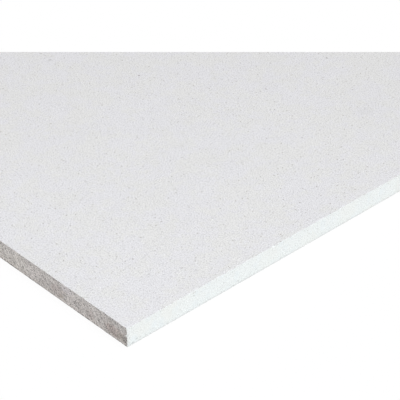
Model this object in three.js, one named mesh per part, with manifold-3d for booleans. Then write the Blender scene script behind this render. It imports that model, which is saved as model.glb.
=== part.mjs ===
// Drywall sheet: one square-edged, unfaced gypsum-fibre board, lying flat.
//
// Units are millimetres, +Z is up. The origin is at the middle of the underside.
// X runs along the sheet, Y across it. The near corner is the one at -X, -Y: its end
// edge is the wall facing -X and its side edge is the wall facing -Y.

import * as THREE from 'three';
import { mergeVertices, toCreasedNormals } from 'three/addons/utils/BufferGeometryUtils.js';
import Module from 'manifold-3d';

// ---- driving dimensions -------------------------------------------------------------

const SHEET_LENGTH = 2400;
const SHEET_WIDTH = 1200;
const SHEET_THICKNESS = 12.5;

const ARRIS_RADIUS = 0.25; // wear on the long arrises of the faces
const ARRIS_STEPS = 3;
const UPRIGHT_RADIUS = 0.3; // wear on the four upright corners
const UPRIGHT_STEPS = 5;

// Knocks that the near corner and its two upper arrises have taken. Each is a shallow
// scoop: `along` runs from the near corner down the arris, `length` follows the arris,
// `bite` goes in from the edge's wall and `drop` goes down from the face.
const END_ARRIS_NICKS = [
  { along: 18.4, length: 2.2, bite: 0.5, drop: 1.4 },
  { along: 35.8, length: 2.4, bite: 0.4, drop: 1.1 },
  { along: 62.6, length: 1.6, bite: 0.3, drop: 0.8 },
];
const SIDE_ARRIS_NICKS = [
  { along: 65.9, length: 2.0, bite: 0.4, drop: 1.0 },
  { along: 108.7, length: 2.6, bite: 0.7, drop: 1.2 },
];
const SCOOP_OVERHANG = 0.45; // share of a scoop's half-size by which its middle lies outside

// The bruise on the near corner itself: a narrow facet down the top of the upright.
const BRUISE_ON_END = 0.8; // how far it reaches along the end arris
const BRUISE_ON_SIDE = 1.1; // how far it reaches along the side arris
const BRUISE_DROP = 3.4; // how far it reaches down the upright

// The little flake out of the upright, below the bruise.
const FLAKE_DEPTH_BELOW_FACE = 5.0;
const FLAKE_HEIGHT = 1.2;
const FLAKE_BITE = 1.3;

const SCOOP_DETAIL = 2; // subdivision of the round body that cuts a scoop
const NORMAL_CREASE = Math.PI / 6; // faces that meet at less than this shade as one

// ---- booleans -----------------------------------------------------------------------

const wasm = await Module();
wasm.setup();

/** Turns a closed geometry into a solid that can be cut. */
function toSolid(geometry) {
  const bare = geometry.clone();
  bare.deleteAttribute('normal');
  bare.deleteAttribute('uv');
  const merged = mergeVertices(bare);
  const indices = merged.index
    ? merged.index.array
    : Uint32Array.from({ length: merged.attributes.position.count }, (_, i) => i);
  return new wasm.Manifold(new wasm.Mesh({
    numProp: 3,
    vertProperties: Float32Array.from(merged.attributes.position.array),
    triVerts: Uint32Array.from(indices),
  }));
}

/** Turns a solid back into a geometry whose faces keep crisp edges. */
function toGeometry(solid) {
  const mesh = solid.getMesh();
  const geometry = new THREE.BufferGeometry();
  geometry.setAttribute('position', new THREE.BufferAttribute(mesh.vertProperties, mesh.numProp));
  geometry.setIndex(new THREE.BufferAttribute(mesh.triVerts, 1));
  return toCreasedNormals(geometry, NORMAL_CREASE);
}

// ---- the plain board ----------------------------------------------------------------

/** Outline of the flat face: the sheet less the worn arris, with rounded corners. */
function faceOutline(length, width, radius) {
  const x = length / 2;
  const y = width / 2;
  const outline = new THREE.Shape();
  outline.moveTo(-x + radius, -y);
  outline.lineTo(x - radius, -y);
  outline.absarc(x - radius, -y + radius, radius, -Math.PI / 2, 0, false);
  outline.lineTo(x, y - radius);
  outline.absarc(x - radius, y - radius, radius, 0, Math.PI / 2, false);
  outline.lineTo(-x + radius, y);
  outline.absarc(-x + radius, y - radius, radius, Math.PI / 2, Math.PI, false);
  outline.lineTo(-x, -y + radius);
  outline.absarc(-x + radius, -y + radius, radius, Math.PI, 1.5 * Math.PI, false);
  return outline;
}

/** The sawn board before any knock: square edges with a little wear on every arris. */
function plainBoard() {
  const outline = faceOutline(SHEET_LENGTH, SHEET_WIDTH, UPRIGHT_RADIUS);
  const board = new THREE.ExtrudeGeometry(outline, {
    depth: SHEET_THICKNESS - 2 * ARRIS_RADIUS,
    curveSegments: UPRIGHT_STEPS,
    bevelEnabled: true,
    bevelThickness: ARRIS_RADIUS,
    bevelSize: ARRIS_RADIUS,
    bevelOffset: -ARRIS_RADIUS,
    bevelSegments: ARRIS_STEPS,
  });
  board.translate(0, 0, ARRIS_RADIUS);
  return board;
}

// ---- the knocks ---------------------------------------------------------------------

/** A round body with the given half-sizes, centred at a point. */
function scoop(halfX, halfY, halfZ, x, y, z) {
  const body = new THREE.IcosahedronGeometry(1, SCOOP_DETAIL);
  body.scale(halfX, halfY, halfZ);
  body.translate(x, y, z);
  return toSolid(body);
}

/**
 * Half-size and outward shift of a scoop along an axis that it bites in from outside.
 * `shifted` counts the axes that the scoop's middle is shifted out along: 2 at an arris,
 * 3 at a corner. `reach` is where the scoop ends on the board's own surface.
 */
function bitten(reach, shifted) {
  const half = reach / (Math.sqrt(1 - (shifted - 1) * SCOOP_OVERHANG ** 2) - SCOOP_OVERHANG);
  return { half, shift: half * SCOOP_OVERHANG };
}

/** Half-size of a scoop along the arris or upright that it is centred on. */
function spanned(length) {
  return length / 2 / Math.sqrt(1 - 2 * SCOOP_OVERHANG ** 2);
}

/** Cutter for a nick in the upper arris of the near end. */
function endNick({ along, length, bite, drop }) {
  const inward = bitten(bite, 2);
  const down = bitten(drop, 2);
  return scoop(
    inward.half, spanned(length), down.half,
    -SHEET_LENGTH / 2 - inward.shift, -SHEET_WIDTH / 2 + along, SHEET_THICKNESS + down.shift,
  );
}

/** Cutter for a nick in the upper arris of the near side. */
function sideNick({ along, length, bite, drop }) {
  const inward = bitten(bite, 2);
  const down = bitten(drop, 2);
  return scoop(
    spanned(length), inward.half, down.half,
    -SHEET_LENGTH / 2 + along, -SHEET_WIDTH / 2 - inward.shift, SHEET_THICKNESS + down.shift,
  );
}

/** Cutter for the bruise that takes the top off the near upright. */
function cornerBruise() {
  const onSide = bitten(BRUISE_ON_SIDE, 3);
  const onEnd = bitten(BRUISE_ON_END, 3);
  const down = bitten(BRUISE_DROP, 3);
  return scoop(
    onSide.half, onEnd.half, down.half,
    -SHEET_LENGTH / 2 - onSide.shift, -SHEET_WIDTH / 2 - onEnd.shift, SHEET_THICKNESS + down.shift,
  );
}

/** Cutter for the flake out of the near upright. */
function uprightFlake() {
  const bite = bitten(FLAKE_BITE, 2);
  return scoop(
    bite.half, bite.half, spanned(FLAKE_HEIGHT),
    -SHEET_LENGTH / 2 - bite.shift, -SHEET_WIDTH / 2 - bite.shift, SHEET_THICKNESS - FLAKE_DEPTH_BELOW_FACE,
  );
}

// ---- the sheet ----------------------------------------------------------------------

const knocks = [
  ...END_ARRIS_NICKS.map(endNick),
  ...SIDE_ARRIS_NICKS.map(sideNick),
  cornerBruise(),
  uprightFlake(),
];
const boardSolid = knocks.reduce((solid, knock) => solid.subtract(knock), toSolid(plainBoard()));

const gypsumFibre = new THREE.MeshStandardMaterial({ color: 0xe2e2e1, roughness: 0.92, metalness: 0 });

const board = new THREE.Mesh(toGeometry(boardSolid), gypsumFibre);
board.name = 'board';

const sheet = new THREE.Group();
sheet.name = 'drywall_sheet';
sheet.add(board);

export default sheet;
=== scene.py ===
"""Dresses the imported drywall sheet: a square-edged, unfaced gypsum-fibre board lying flat.

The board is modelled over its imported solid, with a finer mesh along its edges than the solid has,
and gets three finishes: the sanded faces, the sawn ends and the sawn long sides. Lengths are in
metres, and in millimetres where a name ends in _mm.
"""

import logging
import math
from dataclasses import dataclass, field
from enum import Enum
from typing import Any, Optional, Union

import bpy
import numpy as np
from mathutils import Matrix, Vector


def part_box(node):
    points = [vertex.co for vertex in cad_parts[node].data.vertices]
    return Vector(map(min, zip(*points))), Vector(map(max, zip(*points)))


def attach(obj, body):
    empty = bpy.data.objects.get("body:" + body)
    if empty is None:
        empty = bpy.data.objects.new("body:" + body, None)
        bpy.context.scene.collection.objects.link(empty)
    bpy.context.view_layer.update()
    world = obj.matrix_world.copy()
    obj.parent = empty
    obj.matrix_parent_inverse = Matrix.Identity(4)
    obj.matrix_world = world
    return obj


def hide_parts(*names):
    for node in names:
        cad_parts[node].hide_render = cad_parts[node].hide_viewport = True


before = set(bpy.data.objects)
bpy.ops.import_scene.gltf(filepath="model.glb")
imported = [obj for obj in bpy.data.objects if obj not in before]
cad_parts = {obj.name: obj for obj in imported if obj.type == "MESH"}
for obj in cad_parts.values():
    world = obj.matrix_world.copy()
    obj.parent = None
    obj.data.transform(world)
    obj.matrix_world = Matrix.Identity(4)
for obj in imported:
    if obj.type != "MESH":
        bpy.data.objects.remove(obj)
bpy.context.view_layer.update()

LOG = logging.getLogger("drywall_sheet")

MM = 0.001
NODE = "board"
BODY = "root"
PIECE = "gypsum_fibre_sheet"
TOUCH = 0.001 * MM  # shorter distances than this count as none
UP = Vector((0, 0, 1))
WHITE = (1.0, 1.0, 1.0)
SHEEN = 0.2  # the matt surfaces' specular level
FRAY_PER_MM = 0.35  # cells of the noise that frays a patch's outline
MEAN_CRUMB_DISTANCE = 0.46  # of a place from the middle of its crumb, in crumb sizes

Colour = tuple[float, float, float]
Number = Union[int, float]


def rgba(colour: Colour) -> tuple[float, float, float, float]:
    """A colour with full alpha, as colour sockets take it."""
    return (*colour, 1.0)


# ---- shader maths --------------------------------------------------------------------


class Signal:
    """A node's output, with arithmetic that adds Math nodes."""

    def __init__(self, graph: "ShaderGraph", socket: bpy.types.NodeSocket) -> None:
        """Wraps a socket.

        Args:
            graph: The graph that the socket's node is in.
            socket: The output socket.
        """
        self.graph = graph
        self.socket = socket

    def __add__(self, other: "Term") -> "Signal":
        """self + other."""
        return self.graph.math("ADD", self, other)

    def __radd__(self, other: Number) -> "Signal":
        """other + self."""
        return self.graph.math("ADD", other, self)

    def __sub__(self, other: "Term") -> "Signal":
        """self - other."""
        return self.graph.math("SUBTRACT", self, other)

    def __rsub__(self, other: Number) -> "Signal":
        """other - self."""
        return self.graph.math("SUBTRACT", other, self)

    def __mul__(self, other: "Term") -> "Signal":
        """self * other."""
        return self.graph.math("MULTIPLY", self, other)

    def __rmul__(self, other: Number) -> "Signal":
        """other * self."""
        return self.graph.math("MULTIPLY", other, self)

    def step(self, low: Number, high: Number) -> "Signal":
        """A smooth rise from 0 at low to 1 at high.

        Args:
            low: The value that gives 0.
            high: The value that gives 1. It may be the smaller of the two.

        Returns:
            The smoothed signal, clamped to 0..1.
        """
        return self.graph.node(
            "ShaderNodeMapRange",
            {"interpolation_type": "SMOOTHSTEP"},
            {"Value": self, "From Min": low, "From Max": high},
        )

    def kept(self, low: Number, high: Number) -> "Signal":
        """The signal, kept between two values."""
        return self.graph.node("ShaderNodeClamp", {}, {"Value": self, "Min": low, "Max": high})

    def sibling(self, output: Union[str, int]) -> "Signal":
        """Another output of the same node."""
        return Signal(self.graph, self.socket.node.outputs[output])

    def parts(self) -> tuple["Signal", "Signal", "Signal"]:
        """The three numbers of a vector or colour."""
        first = self.graph.node("ShaderNodeSeparateXYZ", {}, {0: self})
        return first, first.sibling(1), first.sibling(2)


Term = Union[Signal, Number]


class ShaderGraph:
    """The node tree of a material or a world, built by expressions."""

    def __init__(self, owner: Union[bpy.types.Material, bpy.types.World]) -> None:
        """Empties the tree but for an output node.

        Args:
            owner: The material or world.
        """
        owner.use_nodes = True
        self.owner = owner
        self.tree = owner.node_tree
        self.tree.nodes.clear()
        kind = "World" if isinstance(owner, bpy.types.World) else "Material"
        self.output = self.tree.nodes.new(f"ShaderNodeOutput{kind}")

    def node(
        self,
        kind: str,
        settings: dict[str, Any],
        inputs: dict[Union[str, int], Any],
        output: Union[str, int] = 0,
    ) -> Signal:
        """Adds one node.

        Args:
            kind: The node's type.
            settings: Its properties, set before its sockets are filled.
            inputs: A value or a Signal for each named or numbered socket.
            output: The name or number of the output that is returned.

        Returns:
            The chosen output.
        """
        made = self.tree.nodes.new(kind)
        for key, value in settings.items():
            setattr(made, key, value)
        for key, value in inputs.items():
            if isinstance(value, Signal):
                self.tree.links.new(value.socket, made.inputs[key])
            else:
                made.inputs[key].default_value = value
        return Signal(self, made.outputs[output])

    def math(self, operation: str, *terms: Term) -> Signal:
        """Adds a Math node on its terms and returns its result."""
        return self.node("ShaderNodeMath", {"operation": operation}, dict(enumerate(terms)))

    def vector_math(self, operation: str, *terms: Any) -> Signal:
        """Adds a Vector Math node on its terms and returns its vector."""
        return self.node("ShaderNodeVectorMath", {"operation": operation}, dict(enumerate(terms)))

    def vector(self, x: Term, y: Term, z: Term) -> Signal:
        """Joins three numbers into a vector."""
        return self.node("ShaderNodeCombineXYZ", {}, {0: x, 1: y, 2: z})

    def scaled(self, colour: Any, tone: Signal) -> Signal:
        """A colour or vector times a number."""
        return self.node("ShaderNodeVectorMath", {"operation": "SCALE"}, {0: colour, "Scale": tone})

    def mix(self, factor: Term, low: Any, high: Any) -> Signal:
        """Blends two colours.

        Args:
            factor: How much of the second colour shows, from 0 to 1.
            low: The first colour, as a Signal or four numbers.
            high: The second colour.

        Returns:
            The blended colour.
        """
        return self.node("ShaderNodeMix", {"data_type": "RGBA"}, {0: factor, 6: low, 7: high}, 2)

    def noise(self, place: Signal, per_mm: float, detail: float = 2.0, rough: float = 0.55) -> Signal:
        """Noise about 0, from -0.5 to 0.5, over a place in millimetres.

        Args:
            place: The place, in millimetres.
            per_mm: Cells per millimetre.
            detail: Octaves above the first.
            rough: How much each octave keeps of the one before.

        Returns:
            The noise.
        """
        inputs = {"Vector": place, "Scale": per_mm, "Detail": detail, "Roughness": rough}
        return self.node("ShaderNodeTexNoise", {}, inputs, "Fac") - 0.5

    def swirl(self, place: Signal, per_mm: float, reach_mm: float) -> Signal:
        """A place pushed about by slow noise, so that a pattern on it bends.

        Args:
            place: The place, in millimetres.
            per_mm: Cells of the slow noise per millimetre.
            reach_mm: How far it pushes.

        Returns:
            The pushed place.
        """
        inputs = {"Vector": place, "Scale": per_mm, "Detail": 1.0}
        push = self.node("ShaderNodeTexNoise", {}, inputs, "Color")
        centred = self.vector_math("SUBTRACT", push, (0.5, 0.5, 0.5))
        return self.vector_math("ADD", place, self.vector_math("MULTIPLY", centred, (2 * reach_mm,) * 3))

    def place_mm(self) -> Signal:
        """The Object coordinate, in millimetres."""
        coordinate = self.node("ShaderNodeTexCoord", {}, {}, "Object")
        return self.vector_math("MULTIPLY", coordinate, (1 / MM,) * 3)

    def from_corner(self, place: Signal, corner: Vector) -> tuple[Signal, Signal, Signal]:
        """The distances in x, y and z, in millimetres, of a place from a corner in metres."""
        return self.vector_math("SUBTRACT", place, tuple(corner / MM)).parts()

    def finish(self, shader: Signal) -> None:
        """Gives the output its shader."""
        self.tree.links.new(shader.socket, self.output.inputs["Surface"])

    def finish_matt(self, colour: Signal, roughness: float, height: Signal, depth_mm: float) -> None:
        """Gives the output a matt surface with a fine relief.

        Args:
            colour: The base colour.
            roughness: The roughness.
            height: The relief.
            depth_mm: What a height of 1 is worth.
        """
        relief = {"Strength": 1.0, "Distance": depth_mm * MM, "Height": height}
        surface = {
            "Base Color": colour,
            "Roughness": roughness,
            "Specular IOR Level": SHEEN,
            "Normal": self.node("ShaderNodeBump", {}, relief, "Normal"),
        }
        self.finish(self.node("ShaderNodeBsdfPrincipled", {}, surface))


# ---- finishes ------------------------------------------------------------------------


class Run(Enum):
    """The axis that a wall runs along, by its place in a vector."""

    ALONG_X = 0
    ALONG_Y = 1


class Kind(Enum):
    """How a grain looks: soft clouds, crumbs with a tone each, or crumbs shaded from middle to rim."""

    SOFT = "soft"
    CRISP = "crisp"
    PORED = "pored"


@dataclass(frozen=True)
class Grain:
    """One size of grain or fibre in a surface's tone or relief."""

    long_mm: float
    wide_mm: float
    strength: float
    slant_deg: float = 0.0
    kind: Kind = Kind.SOFT

    def lay(self, graph: ShaderGraph, place: Signal, run: Optional[Run] = None) -> Signal:
        """Lays the grain in the plane of a surface.

        Args:
            graph: The graph to add to.
            place: The place, in millimetres.
            run: The axis that a wall runs along. The flat faces have none.

        Returns:
            The grain, from -0.5 to 0.5.
        """
        scaled, per_mm = place, 1 / self.wide_mm
        if run and (self.long_mm != self.wide_mm or self.kind is Kind.PORED):
            parts = place.parts()
            along, deep, up = parts[run.value], parts[1 - run.value], parts[2]
            turn = math.radians(self.slant_deg)
            lengthwise = along * math.cos(turn) + up * math.sin(turn)
            crosswise = up * math.cos(turn) - along * math.sin(turn)
            scaled = graph.vector(lengthwise * (self.wide_mm / self.long_mm), crosswise, deep)
        if self.kind is Kind.SOFT:
            return graph.noise(scaled, per_mm, 0.0)
        inputs = {"Vector": scaled, "Scale": per_mm}
        if self.kind is Kind.CRISP:
            tone, _, _ = graph.node("ShaderNodeTexVoronoi", {"feature": "F1"}, inputs, "Color").parts()
            return tone - 0.5
        flat = {"feature": "F1", "voronoi_dimensions": "2D"}
        return graph.node("ShaderNodeTexVoronoi", flat, inputs, "Distance") - MEAN_CRUMB_DISTANCE


@dataclass(frozen=True)
class Flecks:
    """Scattered round flecks: their spacing, size, share of cells, depth of tint and colour."""

    cell_mm: float
    radius_mm: float
    share: float
    tint: float
    colour: Colour
    rim: tuple[float, float] = (1.3, 0.6)  # where a fleck begins and where it is full, in radii

    def scatter(self, graph: ShaderGraph, place: Signal) -> Signal:
        """Scatters the flecks.

        Args:
            graph: The graph to add to.
            place: The place, in millimetres.

        Returns:
            How much of a fleck's colour shows, from 0 to 1.
        """
        inputs = {"Vector": place, "Scale": 1 / self.cell_mm}
        distance = graph.node("ShaderNodeTexVoronoi", {"feature": "F1"}, inputs, "Distance")
        strength = distance.sibling("Color").parts()[0].step(1 - self.share, 1.0)
        radius = self.radius_mm / self.cell_mm
        return distance.step(*(radius * reach for reach in self.rim)) * strength * self.tint


@dataclass(frozen=True)
class StainOrPaintedLight:
    """A tinted patch, placed from the near lower corner, along and up a wall or in x and y on a face: a
    real stain, or a patch of painted shade or painted highlight.
    """

    along_mm: float
    up_mm: float
    half_length_mm: float
    half_height_mm: float
    tint: float
    colour: Colour
    rim: tuple[float, float] = (1.1, 0.3)  # where it begins and where it is full, in squared radii

    def spread(self, along: Signal, up: Signal, ragged: Signal) -> Signal:
        """Spreads the patch.

        Args:
            along: The distance from the corner along the wall, or along x on a face, in millimetres.
            up: The height above the underside, or the distance along y on a face, in millimetres.
            ragged: Noise that frays the stain's outline.

        Returns:
            How much of the patch's colour shows, from 0 to 1.
        """
        across = (along - self.along_mm) * (1 / self.half_length_mm)
        rise = (up - self.up_mm) * (1 / self.half_height_mm)
        return (across * across + rise * rise + ragged).step(*self.rim) * self.tint


@dataclass(frozen=True)
class SandedFace:
    """The lightly sanded face: near white, fine-grained, with small flecks."""

    name: str = "sanded_face"
    cool_ground: Colour = (0.804, 0.803, 0.8155)
    warm_ground: Colour = (0.804, 0.803, 0.7895)
    hue_per_mm: float = 0.05  # cells of the slow noise that turns the ground from cool to warm
    hue_octaves: float = 3.0
    hue_rough: float = 0.85
    hue_turn: tuple[float, float] = (-0.1, 0.1)  # the noise at which it is cool, and warm
    roughness: float = 0.92
    relief_mm: float = 0.02
    relief: Grain = Grain(0.8, 0.8, 1.0)
    grains: tuple[Grain, ...] = (
        Grain(0.84, 0.84, -0.335, kind=Kind.PORED),
        Grain(0.64, 0.64, 0.335, kind=Kind.PORED),
        Grain(9.0, 9.0, 0.025),
        Grain(60.0, 60.0, 0.015),
    )
    flecks: tuple[Flecks, ...] = (
        Flecks(1.2, 0.28, 0.5, 0.5, (0.36, 0.34, 0.32)),
        Flecks(2.4, 0.41, 0.5, 0.78, (0.30, 0.27, 0.23)),
    )
    marks: tuple[StainOrPaintedLight, ...] = (
        StainOrPaintedLight(289.5, 128.8, 0.9, 1.0, 0.7, (0.34, 0.34, 0.33)),
        StainOrPaintedLight(181.6, 197.1, 0.9, 1.0, 0.7, (0.38, 0.33, 0.34)),
        StainOrPaintedLight(152.2, 253.9, 1.0, 1.4, 0.4, (0.38, 0.38, 0.37)),
        StainOrPaintedLight(256.9, 63.9, 6.0, 5.0, 0.15, (0.60, 0.60, 0.58)),
    )

    def make(self, corner: Vector) -> bpy.types.Material:
        """Builds the face's material.

        Args:
            corner: The near lower corner of the sheet.

        Returns:
            The material.
        """
        graph = ShaderGraph(bpy.data.materials.new(self.name))
        place = graph.place_mm()
        tone = sum((grain.lay(graph, place) * grain.strength for grain in self.grains), start=1.0)
        hue = graph.noise(place, self.hue_per_mm, self.hue_octaves, self.hue_rough).step(*self.hue_turn)
        colour = graph.scaled(graph.mix(hue, rgba(self.cool_ground), rgba(self.warm_ground)), tone)
        for flecks in self.flecks:
            colour = graph.mix(flecks.scatter(graph, place), colour, rgba(flecks.colour))
        long_way, short_way, _ = graph.from_corner(place, corner)
        ragged = graph.noise(place, FRAY_PER_MM)
        for mark in self.marks:
            colour = graph.mix(mark.spread(long_way, short_way, ragged), colour, rgba(mark.colour))
        graph.finish_matt(colour, self.roughness, self.relief.lay(graph, place), self.relief_mm)
        return graph.owner


@dataclass(frozen=True)
class Band:
    """A lengthwise band of an edge that is lighter or darker than the rest: painted shade along the
    arrises, painted bounce light above the lower arris, or a plain darker stretch.
    """

    up_mm: float
    half_height_mm: float
    lift: float

    def lay(self, up: Signal) -> Signal:
        """The band's share of the tone at a height above the underside."""
        away = (up - self.up_mm) * (1 / self.half_height_mm)
        return (away * away).step(1.0, 0.0) * self.lift


@dataclass(frozen=True)
class ArrisShade:
    """Broken painted shade along the lower arris: dark marks that stand in for the shadow in small dents
    and under the arris.
    """

    height_mm: float
    patch_mm: float
    share: float
    tint: float
    colour: Colour
    full_height: float = 0.6  # the share of the height up to which the marks are full
    noise_reach: float = 0.4  # the share of its range that the noise mostly keeps to
    fade: float = 0.08  # how much the noise rises from bare to marked

    def paint_shade(self, graph: ShaderGraph, place: Signal, up: Signal) -> Signal:
        """Paints the shade on.

        Args:
            graph: The graph to add to.
            place: The place, in millimetres.
            up: The height above the underside, in millimetres.

        Returns:
            How much of the painted shade's colour shows, from 0 to 1.
        """
        low = up.step(self.height_mm, self.height_mm * self.full_height)
        bare = (0.5 - self.share) * self.noise_reach
        broken = graph.noise(place, 1 / self.patch_mm, 1.0).step(bare, bare + self.fade)
        return low * broken * self.tint


@dataclass(frozen=True)
class SawnEdge:
    """A sawn edge: felted fibres that lie aslant, with pits and stained patches, and painted shade and
    painted light along its arrises.
    """

    name: str
    run: Run
    ground: Colour
    relief_mm: float
    grains: tuple[Grain, ...]
    relief: Grain
    arris_shade: ArrisShade
    roughness: float = 0.95
    swirl_per_mm: float = 0.2  # cells of the slow noise that bends the fibres
    swirl_mm: float = 0.9  # how far it pushes them
    tone_limits: tuple[float, float] = (0.25, 1.35)
    fray: float = 1.8  # how ragged the patches' outlines are
    calm_heights_mm: tuple[float, float] = (4.0, 9.5)  # between these heights the grain grows calmer
    top_calm: float = 0.0  # how much of the grain is lost above them
    bands: tuple[Band, ...] = ()
    flecks: tuple[Flecks, ...] = ()
    stains_and_painted_light: tuple[StainOrPaintedLight, ...] = ()

    def make(self, corner: Vector) -> bpy.types.Material:
        """Builds the edge's material.

        Args:
            corner: The near lower corner of the sheet.

        Returns:
            The material.
        """
        graph = ShaderGraph(bpy.data.materials.new(self.name))
        place = graph.place_mm()
        distances = graph.from_corner(place, corner)
        along, up = distances[self.run.value], distances[2]
        felt = graph.swirl(place, self.swirl_per_mm, self.swirl_mm)
        grit = (grain.lay(graph, felt, self.run) * grain.strength for grain in self.grains)
        tone = sum(grit, start=0.0) * (1 - up.step(*self.calm_heights_mm) * self.top_calm) + 1
        tone = sum((band.lay(up) for band in self.bands), start=tone).kept(*self.tone_limits)
        colour = graph.scaled(self.ground, tone)
        for flecks in self.flecks:
            colour = graph.mix(flecks.scatter(graph, felt), colour, rgba(flecks.colour))
        ragged = graph.noise(place, FRAY_PER_MM) * self.fray
        # real stains, and patches of painted shade and painted highlight
        for tint_patch in self.stains_and_painted_light:
            tinted = graph.scaled(tint_patch.colour, tone)
            colour = graph.mix(tint_patch.spread(along, up, ragged), colour, tinted)
        # painted shade: a broken dark line along the lower arris
        colour = graph.mix(self.arris_shade.paint_shade(graph, place, up), colour, rgba(self.arris_shade.colour))
        graph.finish_matt(colour, self.roughness, self.relief.lay(graph, felt, self.run), self.relief_mm)
        return graph.owner


SAWN_END = SawnEdge(
    name="sawn_end",
    run=Run.ALONG_Y,
    ground=(0.765, 0.739, 0.719),
    relief_mm=0.15,
    relief=Grain(1.5, 0.6, 1.0, 50),
    grains=(
        Grain(0.7, 0.7, -1.42, kind=Kind.PORED),
        Grain(0.5, 0.5, 1.37, kind=Kind.PORED),
        Grain(2.5, 0.45, 0.66, 50, Kind.CRISP),
        Grain(5.0, 0.8, 0.37, 50, Kind.CRISP),
        Grain(7.0, 2.0, 0.2, 45),
        Grain(7.0, 7.0, 0.08),
    ),
    top_calm=0.22,
    # bands from the top: painted shade under the upper arris, a darker stretch, painted bounce light
    # above the lower arris, and a painted shadow line along the lower arris
    bands=(Band(11.5, 1.1, -0.07), Band(3.9, 2.6, -0.04), Band(1.4, 1.3, 0.15), Band(0.0, 0.5, -0.3)),
    stains_and_painted_light=(
        StainOrPaintedLight(50.0, 12.8, 65.0, 3.2, 0.5, (0.76, 0.75, 0.725)),
        StainOrPaintedLight(98.0, 6.0, 16.0, 9.0, 0.65, (0.815, 0.795, 0.756)),
        StainOrPaintedLight(101.0, 10.4, 8.0, 3.4, 0.7, (0.85, 0.83, 0.81)),
        StainOrPaintedLight(8.0, 10.6, 11.0, 3.8, 0.8, (0.645, 0.63, 0.615)),
        StainOrPaintedLight(10.5, 4.8, 9.0, 3.8, 0.75, (0.60, 0.53, 0.505)),
        StainOrPaintedLight(4.2, 3.4, 4.6, 3.0, 0.75, (0.51, 0.485, 0.45)),
        StainOrPaintedLight(0.7, 6.0, 1.5, 8.0, 0.6, (0.54, 0.52, 0.50)),
        StainOrPaintedLight(4.6, 4.9, 1.5, 1.8, 0.5, (0.46, 0.43, 0.39)),
        StainOrPaintedLight(3.0, 6.8, 1.2, 1.4, 0.45, (0.53, 0.50, 0.47)),
        StainOrPaintedLight(9.8, 2.7, 3.0, 1.4, 0.4, (0.46, 0.40, 0.38)),
        StainOrPaintedLight(13.5, 9.6, 3.0, 1.4, 0.35, (0.50, 0.47, 0.43)),
        StainOrPaintedLight(30.0, 4.6, 4.0, 3.2, 0.6, (0.64, 0.59, 0.57)),
        StainOrPaintedLight(49.7, 10.2, 5.5, 3.0, 0.8, (0.81, 0.78, 0.79)),
        StainOrPaintedLight(44.5, 5.0, 6.0, 4.5, 0.5, (0.82, 0.79, 0.77)),
        StainOrPaintedLight(78.5, 7.0, 7.0, 6.0, 0.6, (0.82, 0.79, 0.77)),
        StainOrPaintedLight(57.5, 5.6, 6.0, 4.0, 0.45, (0.65, 0.585, 0.565)),
        StainOrPaintedLight(55.0, 3.0, 2.2, 1.6, 0.65, (0.48, 0.44, 0.39)),
        StainOrPaintedLight(62.4, 5.2, 1.6, 2.8, 0.45, (0.56, 0.50, 0.48)),
        StainOrPaintedLight(70.4, 4.6, 2.4, 1.4, 0.15, (0.60, 0.53, 0.51)),
        StainOrPaintedLight(60.0, 11.2, 3.0, 1.8, 0.7, (0.68, 0.65, 0.63)),
        # painted highlight: a lit ledge in the notch beside the upright
        StainOrPaintedLight(0.7, 7.1, 0.9, 0.45, 0.9, (0.92, 0.93, 0.92)),
        # painted shade: dark bits in small dents along the lower arris
        StainOrPaintedLight(99.0, 0.4, 5.0, 0.6, 0.8, (0.36, 0.35, 0.34)),
        StainOrPaintedLight(82.7, 0.5, 1.6, 0.7, 0.65, (0.36, 0.35, 0.34)),
        StainOrPaintedLight(76.4, 0.5, 2.0, 0.7, 0.6, (0.42, 0.41, 0.40)),
        StainOrPaintedLight(40.5, 0.4, 1.6, 0.6, 0.8, (0.40, 0.39, 0.38)),
        StainOrPaintedLight(32.7, 0.5, 2.0, 0.8, 0.8, (0.32, 0.31, 0.30)),
    ),
    # painted shade: broken dark marks along the lower arris
    arris_shade=ArrisShade(0.6, 5.0, 0.45, 0.6, (0.40, 0.38, 0.37)),
)

SAWN_SIDE = SawnEdge(
    name="sawn_side",
    run=Run.ALONG_X,
    ground=(0.818, 0.838, 0.84),
    relief_mm=0.02,
    relief=Grain(0.8, 0.8, 1.0),
    grains=(
        Grain(0.8, 0.8, -0.265, kind=Kind.PORED),
        Grain(0.6, 0.6, 0.255, kind=Kind.PORED),
        Grain(7.0, 7.0, 0.008),
    ),
    flecks=(
        Flecks(16.0, 8.0, 0.8, 0.3, (0.84, 0.825, 0.775)),
        Flecks(5.0, 2.5, 0.8, 0.25, (0.77, 0.832, 0.88)),
        Flecks(1.3, 0.28, 0.4, 0.45, (0.45, 0.45, 0.43)),
        Flecks(2.4, 0.32, 0.55, 0.7, (0.40, 0.42, 0.39)),
    ),
    # bands: a slight darkening towards the bottom, and painted shade along the lower arris
    bands=(Band(2.6, 3.6, -0.013), Band(0.85, 0.6, -0.05)),
    stains_and_painted_light=(
        StainOrPaintedLight(6.4, 2.4, 1.1, 0.5, 0.6, (0.56, 0.58, 0.59)),
        StainOrPaintedLight(3.7, 1.2, 1.0, 0.45, 0.6, (0.56, 0.58, 0.59)),
        StainOrPaintedLight(1.7, 5.6, 0.7, 0.7, 0.5, (0.56, 0.58, 0.59)),
        # painted shade: small shadows under nicks at the upper arris
        StainOrPaintedLight(48.2, 11.2, 1.6, 0.8, 0.4, (0.62, 0.61, 0.58)),
        StainOrPaintedLight(111.7, 12.0, 1.2, 0.7, 0.5, (0.58, 0.57, 0.56)),
    ),
    # painted shade: a thin grey line along the lower arris
    arris_shade=ArrisShade(0.5, 60.0, 0.9, 0.4, (0.55, 0.55, 0.54)),
)


# ---- the board -----------------------------------------------------------------------


class Surface(Enum):
    """The surfaces that carry a finish of their own, by material index."""

    FACE = 0
    END = 1
    SIDE = 2


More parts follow.
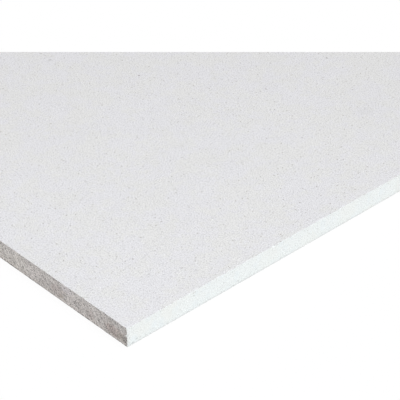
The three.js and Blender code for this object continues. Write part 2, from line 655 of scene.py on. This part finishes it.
@dataclass(frozen=True)
class Relief:
    """Uneven ground: how deep noise of one size bites into a group of points."""

    group: str
    grain_mm: float
    depth_mm: float

    def carve(self, sheet: bpy.types.Object) -> None:
        """Presses the group's points inwards by the noise.

        Args:
            sheet: The sheet; the relief is applied to its mesh.
        """
        texture = bpy.data.textures.new(f"{self.group}_{self.grain_mm:g}mm", "CLOUDS")
        texture.noise_scale = self.grain_mm * MM
        texture.noise_depth = 1
        press = sheet.modifiers.new(texture.name, "DISPLACE")
        press.texture = texture
        press.texture_coords = "LOCAL"
        press.vertex_group = self.group
        press.mid_level = 1.0
        press.strength = self.depth_mm * MM
        bpy.ops.object.modifier_apply(modifier=press.name)


def in_reach(places: np.ndarray, spots: np.ndarray, reach: float) -> np.ndarray:
    """Whether each place is closer than a reach to one of the spots."""
    return np.linalg.norm(places[:, None] - spots[None], axis=2).min(axis=1) < reach


@dataclass
class GypsumSheet:
    """The board's own mesh: refined towards its edges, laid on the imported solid, then roughened."""

    low: Vector
    high: Vector
    solid: bpy.types.Object
    coarse_cell: float = 50 * MM  # the cells in the middle of the faces
    rim_levels: int = 5  # how often the cells are halved towards the outline
    tall: float = 0.75  # uprights longer than this share of a cell are halved with it
    near_reach: tuple[float, float] = (240 * MM, 130 * MM)  # the finer stretches, from the near corner
    fine_band: float = 1.6 * MM  # the finest band's width, inwards and down from an upper arris
    knock_reach: float = 2.2 * MM  # how far round a knock the cells are halved once more
    upright_reach: float = 1.4 * MM  # the same round the knocks of the upright
    notch_below: float = 4.0 * MM  # how far below the face the upright's notch begins
    knock_gap: float = 0.14 * MM  # the solid lies this deep under a sharp arris where it is knocked
    close_reach: float = 3.2 * MM  # how far in from the near edges the mesh follows the solid
    upper_wear: float = 0.15  # how closely the sound upper arrises follow the solid's
    lower_wear: float = 0.0  # the same for the lower ones
    upright_wear: float = 0.3  # the same for the uprights
    bared_reach: float = 6.4 * MM  # how far in from the near edges a knock can bare the core
    bared_deg: float = 12.0  # the tilt from which a facet of the face counts as bared
    bared_depth: float = 0.1 * MM  # how deep inside both walls a facet of the upright counts as bared
    smooth_deg: float = 32.0  # sharper edges than this stay sharp
    reliefs: tuple[Relief, ...] = (
        Relief("ends", 3.0, 0.14),
        Relief("sides", 3.0, 0.06),
        Relief("arrises", 1.2, 0.05),
    )
    sheet: bpy.types.Object = field(init=False)

    def coordinates(self) -> np.ndarray:
        """Reads the vertices' places.

        Returns:
            One row for each vertex.
        """
        mesh = self.sheet.data
        places = np.empty(len(mesh.vertices) * 3, np.float32)
        mesh.vertices.foreach_get("co", places)
        return places.reshape(-1, 3).astype(float)

    def edge_ends(self) -> np.ndarray:
        """Reads which vertices the edges join.

        Returns:
            Two vertex numbers for each edge.
        """
        mesh = self.sheet.data
        ends = np.empty(len(mesh.edges) * 2, np.int32)
        mesh.edges.foreach_get("vertices", ends)
        return ends.reshape(-1, 2)

    def inset(self, places: np.ndarray) -> np.ndarray:
        """Measures how far inside the outline places lie.

        Args:
            places: One row for each place.

        Returns:
            The distance from the nearest of the four sides, for each place.
        """
        below = places[:, :2] - np.array(self.low[:2])
        above = np.array(self.high[:2]) - places[:, :2]
        return np.minimum(below, above).min(axis=1)

    def touches(self, places: np.ndarray) -> np.ndarray:
        """Whether each place is on the block's two x, y and z sides, one column for each axis."""
        low = np.abs(places - np.array(self.low)) < TOUCH
        return low | (np.abs(places - np.array(self.high)) < TOUCH)

    def near(self, places: np.ndarray) -> np.ndarray:
        """Whether each place is in reach of the near corner."""
        from_low = places[:, :2] - np.array(self.low[:2])
        return (from_low < np.array(self.near_reach)).all(axis=1)

    def by_upright(self, places: np.ndarray) -> np.ndarray:
        """Whether each place is beside the near upright."""
        from_low = places[:, :2] - np.array(self.low[:2])
        return (from_low < self.fine_band + TOUCH).all(axis=1)

    def knocked(self, places: np.ndarray) -> np.ndarray:
        """Finds the places on the upper near arrises and the near upright where the solid is knocked.

        Args:
            places: One row for each place.

        Returns:
            True for each place that a knock has taken away.
        """
        chosen = self.near(places) & (self.touches(places).sum(axis=1) > 1)
        inward = self.solid.matrix_world.inverted()
        for index in np.flatnonzero(chosen):
            place = inward @ Vector(places[index])
            chosen[index] = (self.solid.closest_point_on_mesh(place)[1] - place).length > self.knock_gap
        return chosen & (places[:, 2] > self.low.z + self.fine_band)

    def by_notch(self, places: np.ndarray) -> np.ndarray:
        """Finds the places on the walls beside the notch in the near upright.

        Args:
            places: One row for each place.

        Returns:
            True for each place in reach of the notch.
        """
        knocked, touches = self.knocked(places), self.touches(places)
        below = places[:, 2] < self.high.z - self.notch_below
        spots = places[knocked & self.by_upright(places) & below]
        chosen = self.near(places) & (knocked | (touches[:, 0] ^ touches[:, 1]))
        chosen[chosen] = in_reach(places[chosen], spots, self.upright_reach)
        return chosen

    def split(self, chosen: np.ndarray, cuts: int = 1) -> None:
        """Subdivides the chosen edges.

        Args:
            chosen: True for each edge to cut.
            cuts: How many cuts each edge gets.
        """
        mesh = self.sheet.data
        mesh.vertices.foreach_set("select", np.zeros(len(mesh.vertices), bool))
        mesh.polygons.foreach_set("select", np.zeros(len(mesh.polygons), bool))
        mesh.edges.foreach_set("select", chosen)
        bpy.context.tool_settings.mesh_select_mode = (False, True, False)
        bpy.ops.object.mode_set(mode="EDIT")
        bpy.ops.mesh.subdivide(number_cuts=cuts, smoothness=0, ngon=False, quadcorner="INNERVERT")
        bpy.ops.object.mode_set(mode="OBJECT")

    def start(self) -> None:
        """Adds the block, gives each side its finish and cuts it into coarse cells."""
        size = self.high - self.low
        bpy.ops.mesh.primitive_cube_add(size=1, location=(self.low + self.high) / 2, scale=size)
        self.sheet = bpy.context.active_object
        self.sheet.name = PIECE
        bpy.ops.object.transform_apply(location=True, rotation=True, scale=True)
        for side in self.sheet.data.polygons:
            axis = int(np.argmax(np.abs(side.normal)))
            side.material_index = (Surface.END, Surface.SIDE, Surface.FACE)[axis].value
        for axis, extent in enumerate((size.x, size.y)):
            places = self.coordinates()[self.edge_ends()]
            run = np.abs(places[:, 1] - places[:, 0])
            self.split(run[:, axis] > TOUCH, round(extent / self.coarse_cell) - 1)

    def refine_rim(self) -> float:
        """Halves the cells again and again in a band that narrows towards the outline.

        Returns:
            The size of the smallest cells.
        """
        cell = self.coarse_cell
        for _ in range(self.rim_levels):
            places = self.coordinates()
            ends = self.edge_ends()
            banded = (self.inset(places) <= cell + TOUCH)[ends].all(axis=1)
            rise = np.abs(places[ends[:, 1], 2] - places[ends[:, 0], 2])
            self.split(banded & ((rise < TOUCH) | (rise > self.tall * cell)))
            cell /= 2
        return cell

    def refine_near(self, cell: float) -> None:
        """Halves the cells along the near edges, again by the upper arrises and twice more at the knocks.

        Args:
            cell: The size of the cells so far.
        """
        for band, depth in ((cell, self.high.z - self.low.z), (self.fine_band, self.fine_band)):
            places = self.coordinates()
            chosen = self.near(places) & (self.inset(places) <= band + TOUCH)
            chosen &= (places[:, 2] > self.high.z - depth - TOUCH) | self.by_upright(places)
            self.split(chosen[self.edge_ends()].all(axis=1))
        for reach in (self.knock_reach, self.upright_reach):
            places = self.coordinates()
            knocked = self.knocked(places)
            spots = places[knocked if reach == self.knock_reach else knocked & self.by_upright(places)]
            close = self.near(places) & (self.inset(places) < reach)
            close[close] = in_reach(places[close], spots, reach)
            self.split(close[self.edge_ends()].all(axis=1))

    def group_points(self) -> None:
        """Names the points of the walls and arrises, and how closely each follows the solid."""
        places = self.coordinates()
        touches = self.touches(places)
        arrises = touches.sum(axis=1) > 1
        upper = places[:, 2] > (self.low.z + self.high.z) / 2
        knocked = self.knocked(places)
        upright = touches[:, 0] & touches[:, 1]
        worn = arrises & ~knocked
        close = (self.near(places) & (self.inset(places) < self.close_reach)) | knocked
        groups = (
            ("ends", touches[:, 0], 1.0),
            ("sides", touches[:, 1] & ~touches[:, 0], 1.0),
            ("arrises", worn, 1.0),
            ("on_solid", close & ~worn, 1.0),
            ("on_solid", worn & upper, self.upper_wear),
            ("on_solid", worn & ~upper, self.lower_wear),
            ("on_solid", worn & upright, self.upright_wear),
            ("in_notch", self.by_notch(places), 1.0),
        )
        for name, members, weight in groups:
            group = self.sheet.vertex_groups.get(name) or self.sheet.vertex_groups.new(name=name)
            group.add(np.flatnonzero(members).tolist(), weight, "REPLACE")

    def lay_on_solid(self) -> None:
        """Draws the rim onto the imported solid, which has the worn arrises and the knocks."""
        for group, method in (("in_notch", "PROJECT"), ("on_solid", "NEAREST_SURFACEPOINT")):
            wrap = self.sheet.modifiers.new(group, "SHRINKWRAP")
            wrap.target = self.solid
            wrap.vertex_group = group
            wrap.wrap_method = method
            wrap.use_project_x = wrap.use_project_y = True
            wrap.project_limit = self.upright_reach
            bpy.ops.object.modifier_apply(modifier=wrap.name)

    def bare_knocks(self) -> None:
        """Gives the knocked parts of the face and of the upright the finish of the wall beside them."""
        places = self.coordinates()
        near = self.near(places) & (self.inset(places) < self.bared_reach)
        for facet in self.sheet.data.polygons:
            corners = list(facet.vertices)
            if not near[corners].all():
                continue
            from_end, from_side = places[corners].mean(axis=0)[:2] - np.array(self.low[:2])
            if max(from_end, from_side) < self.fine_band:
                level = np.ptp(places[corners, 2]) < TOUCH
                if min(from_end, from_side) > self.bared_depth and not level:
                    facet.material_index = Surface.SIDE.value
                continue
            tilt = math.degrees(facet.normal.angle(UP, 0.0))
            tilted = self.bared_deg < tilt < 180 - self.bared_deg
            if tilted and facet.material_index == Surface.FACE.value:
                facet.material_index = (Surface.END if from_end < from_side else Surface.SIDE).value

    def build(self) -> bpy.types.Object:
        """Makes the whole mesh.

        Returns:
            The sheet.
        """
        self.start()
        self.refine_near(self.refine_rim())
        self.group_points()
        self.lay_on_solid()
        self.bare_knocks()
        for relief in self.reliefs:
            relief.carve(self.sheet)
        self.sheet.vertex_groups.clear()
        bpy.ops.object.shade_smooth_by_angle(angle=math.radians(self.smooth_deg))
        return self.sheet

    def dress(self) -> None:
        """Gives each surface its finish."""
        for finish in (SandedFace(), SAWN_END, SAWN_SIDE):
            self.sheet.data.materials.append(finish.make(self.low))


# ---- camera and studio ---------------------------------------------------------------


@dataclass(frozen=True)
class CornerCamera:
    """A long lens that looks down on the near corner."""

    lens_mm: float = 144.58
    sensor_mm: float = 36.0
    frame_px: float = 400.0
    yaw_deg: float = 46.894
    pitch_deg: float = 33.898
    distance: float = 842.1 * MM
    corner_px: tuple[float, float] = (126.81, 328.79)
    nearest: float = 100 * MM
    farthest: float = 1087.74 * MM

    def aim(self, corner: Vector) -> None:
        """Places the camera so that the corner falls on its pixel.

        Args:
            corner: The upper near corner of the sheet.
        """
        yaw = math.radians(self.yaw_deg)
        pitch = math.radians(self.pitch_deg)
        level = math.cos(pitch)
        ahead = Vector((level * math.cos(yaw), level * math.sin(yaw), -math.sin(pitch)))
        right = Vector((math.sin(yaw), -math.cos(yaw), 0.0))
        up = right.cross(ahead)
        focal_px = self.frame_px * self.lens_mm / self.sensor_mm
        across = self.corner_px[0] - self.frame_px / 2
        down = self.corner_px[1] - self.frame_px / 2
        ray = (ahead * focal_px + right * across - up * down).normalized()
        data = bpy.data.cameras.new("corner_camera")
        data.lens = self.lens_mm
        data.sensor_width = self.sensor_mm
        data.clip_start = self.nearest
        data.clip_end = self.farthest
        camera = bpy.data.objects.new("corner_camera", data)
        bpy.context.scene.collection.objects.link(camera)
        turn = Matrix((right, up, -ahead)).transposed()
        camera.matrix_world = Matrix.Translation(corner - ray * self.distance) @ turn.to_4x4()
        bpy.context.scene.camera = camera


@dataclass(frozen=True)
class SoftBox:
    """A square area light that the camera doesn't see."""

    name: str
    offset: tuple[float, float, float]
    size: float
    power: Colour

    def hang(self, target: Vector) -> None:
        """Hangs the light at its offset from the target and turns it to face the target.

        Args:
            target: The point that it lights.
        """
        data = bpy.data.lights.new(self.name, "AREA")
        data.size = self.size
        data.energy = max(self.power)
        data.color = [part / max(self.power) for part in self.power]
        light = bpy.data.objects.new(self.name, data)
        bpy.context.scene.collection.objects.link(light)
        light.location = target + Vector(self.offset)
        light.rotation_mode = "QUATERNION"
        light.rotation_quaternion = (target - light.location).to_track_quat("-Z", "Y")
        light.visible_camera = False


@dataclass(frozen=True)
class Studio:
    """A white floor, a white surround and soft light."""

    floor_size: float = 80.0
    floor_colour: Colour = (0.85, 0.85, 0.85)
    floor_glow: float = 1.02
    floor_shade: float = 0.1
    fill: Colour = (0.3300, 0.2921, 0.2674)
    boxes: tuple[SoftBox, ...] = (
        SoftBox("key_box", (0.26, -6.9, 3.2), 4.8, (298.2, 319.2, 317.2)),
        SoftBox("top_box", (0.6, 0.3, 5.5), 3.6, (114.3, 121.2, 133.6)),
        SoftBox("corner_box", (-0.05, -0.03, 0.5), 0.35, (0.387, 0.410, 0.433)),
    )

    def lay_floor(self) -> None:
        """Lays a white floor that mostly glows to the camera, so that shadows on it stay faint."""
        bpy.ops.mesh.primitive_plane_add(size=self.floor_size, location=(0, 0, 0))
        floor = bpy.context.active_object
        floor.name = "studio_floor"
        graph = ShaderGraph(bpy.data.materials.new("studio_floor"))
        seen = graph.node("ShaderNodeLightPath", {}, {}, "Is Camera Ray")
        paper = graph.node("ShaderNodeBsdfDiffuse", {}, {"Color": rgba(self.floor_colour)})
        glow = graph.node("ShaderNodeEmission", {}, {"Strength": self.floor_glow})
        lit = seen * (1 - self.floor_shade)
        graph.finish(graph.node("ShaderNodeMixShader", {}, {0: lit, 1: paper, 2: glow}))
        floor.data.materials.append(graph.owner)

    def surround(self) -> None:
        """Makes the world: white to the camera, an even fill to everything else."""
        world = bpy.data.worlds.new("studio_surround")
        bpy.context.scene.world = world
        graph = ShaderGraph(world)
        seen = graph.node("ShaderNodeLightPath", {}, {}, "Is Camera Ray")
        fill = graph.node("ShaderNodeBackground", {}, {"Color": rgba(self.fill)})
        white = graph.node("ShaderNodeBackground", {}, {"Color": rgba(WHITE)})
        graph.finish(graph.node("ShaderNodeMixShader", {}, {0: seen, 1: fill, 2: white}))

    def set_up(self, target: Vector) -> None:
        """Makes the whole studio.

        Args:
            target: The point that the lights face.
        """
        bpy.context.scene.view_settings.view_transform = "Standard"
        self.lay_floor()
        self.surround()
        for box in self.boxes:
            box.hang(target)


def main() -> None:
    """Builds the sheet, the camera and the studio, and reports each piece."""
    logging.basicConfig(level=logging.INFO, format="%(name)s: %(message)s")
    bpy.ops.object.select_all(action="DESELECT")
    low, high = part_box(NODE)
    sheet = GypsumSheet(low, high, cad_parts[NODE])
    piece = sheet.build()
    sheet.dress()
    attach(piece, BODY)
    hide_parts(NODE)
    LOG.info("%s: %d faces", piece.name, len(piece.data.polygons))

    corner = Vector((low.x, low.y, high.z))
    CornerCamera().aim(corner)
    Studio().set_up(corner)
    LOG.info("camera, floor, surround and lights are set up")


if __name__ == "__main__":
    main()
